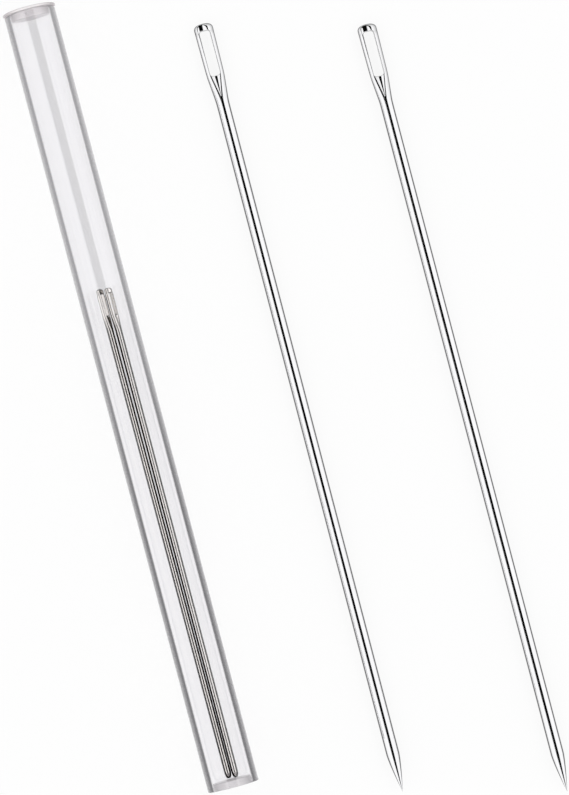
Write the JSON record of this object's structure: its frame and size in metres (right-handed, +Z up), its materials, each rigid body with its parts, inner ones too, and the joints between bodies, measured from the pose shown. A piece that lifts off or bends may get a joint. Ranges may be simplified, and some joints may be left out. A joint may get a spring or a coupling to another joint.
{
  "type": "upholstery needle set",
  "caption": "Clear round storage tube with a push-in plug, holding eyed upholstery needles, and longer needles of the same pattern lying loose beside it.",
  "frame": {"origin": "middle of the set's footprint, on the table that everything lies on", "axes": "+Y along the tube and the needles, from their points towards their eyes and the tube's mouth; +Z up from the table"},
  "size_m": [0.092, 0.2282, 0.0137],
  "materials": {
    "clear_plastic": "clear, polished",
    "milky_plastic": "translucent, satin",
    "bright_steel": "nickel plated, polished",
    "warm_steel": "nickel plated, polished"
  },
  "bodies": {
    "tube": {"storage_tube": "clear_plastic", "base_disc": "milky_plastic"},
    "plug": {"end_plug": "milky_plastic"},
    "stored_left": {"stored_needle_left": "warm_steel"},
    "stored_right": {"stored_needle_right": "warm_steel"},
    "loose_left": {"loose_needle_left": "bright_steel"},
    "loose_right": {"loose_needle_right": "bright_steel"}
  },
  "joints": [
    {"name": "plug_pull", "type": "slide", "parent": "tube", "child": "plug", "axis": [0, 1, 0], "range_m": [0, 0.03]},
    {"name": "stored_left_slide", "type": "slide", "parent": "tube", "child": "stored_left", "axis": [0, 1, 0], "range_m": [0, 0.07]},
    {"name": "stored_right_slide", "type": "slide", "parent": "tube", "child": "stored_right", "axis": [0, 1, 0], "range_m": [0, 0.07]},
    {"name": "loose_left_lift", "type": "slide", "parent": "tube", "child": "loose_left", "axis": [0, 0, 1], "range_m": [0, 0.06]},
    {"name": "loose_right_lift", "type": "slide", "parent": "tube", "child": "loose_right", "axis": [0, 0, 1], "range_m": [0, 0.06]}
  ]
}
